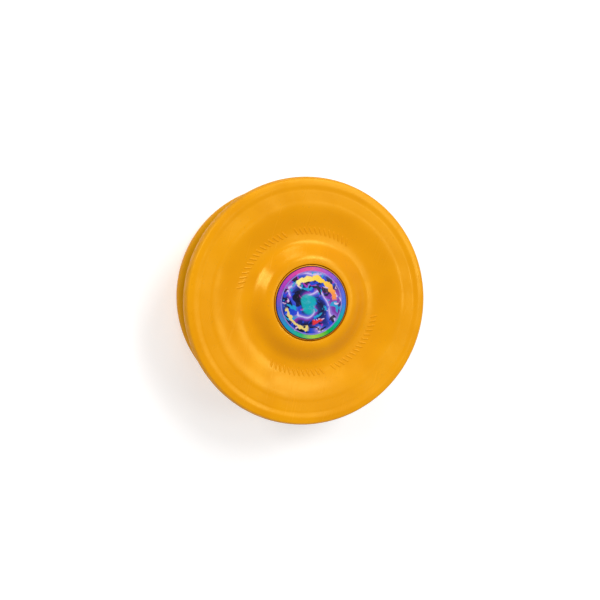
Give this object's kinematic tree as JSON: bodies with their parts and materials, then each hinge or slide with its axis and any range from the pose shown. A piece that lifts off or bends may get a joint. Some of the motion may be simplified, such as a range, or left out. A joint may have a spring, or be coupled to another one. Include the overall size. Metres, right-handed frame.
{
  "type": "ball-bearing yo-yo",
  "caption": "Round two-part yo-yo with dished glossy orange faces, a raised hub with a round label on each side and a ball-bearing axle in the string gap.",
  "frame": {"origin": "the middle of the ball bearing, on the axle, which is also the centre of the whole yo-yo", "axes": "+Z along the axle towards the upper half; X and Y are alike because every large piece is turned about Z"},
  "size_m": [0.057, 0.057, 0.0248],
  "materials": {
    "orange_plastic": "glossy moulded amber-orange plastic, lightly scuffed",
    "label_print": null,
    "axle_steel": "zinc-plated steel",
    "bearing_steel": "ground and polished bearing steel",
    "seat_aluminium": "turned aluminium",
    "cage_brass": "pressed brass",
    "response_rubber": "matte black rubber"
  },
  "bodies": {
    "yoyo_body": {"axle_nut_lower": "axle_steel", "axle_nut_upper": "axle_steel", "axle_stud": "axle_steel", "bearing_inner_race": "bearing_steel", "bearing_seat_lower": "seat_aluminium", "bearing_seat_upper": "seat_aluminium", "half_lower": "orange_plastic", "half_upper": "orange_plastic", "hub_cap_lower": "orange_plastic", "hub_cap_upper": "orange_plastic", "label_lower": "label_print", "label_upper": "label_print", "response_ring_lower": "response_rubber", "response_ring_upper": "response_rubber"},
    "outer_race": {"bearing_outer_race": "bearing_steel", "bearing_shield_upper": "bearing_steel", "bearing_shield_lower": "bearing_steel", "shield_snap_ring_upper": "axle_steel", "shield_snap_ring_lower": "axle_steel"},
    "ball_cage": {"bearing_cage": "cage_brass", "bearing_ball_01": "bearing_steel", "bearing_ball_02": "bearing_steel", "bearing_ball_03": "bearing_steel", "bearing_ball_04": "bearing_steel", "bearing_ball_05": "bearing_steel", "bearing_ball_06": "bearing_steel", "bearing_ball_07": "bearing_steel", "bearing_ball_08": "bearing_steel", "bearing_ball_09": "bearing_steel", "bearing_ball_10": "bearing_steel"}
  },
  "joints": [
    {"name": "bearing_spin", "type": "hinge", "parent": "yoyo_body", "child": "outer_race", "pos_m": [0, 0, 0], "axis": [0, 0, 1], "continuous": true},
    {"name": "cage_orbit", "type": "hinge", "parent": "yoyo_body", "child": "ball_cage", "pos_m": [0, 0, 0], "axis": [0, 0, 1], "continuous": true}
  ],
  "couplings": [
    {"joint": "cage_orbit", "follows": "bearing_spin", "ratio": 0.5829}
  ]
}
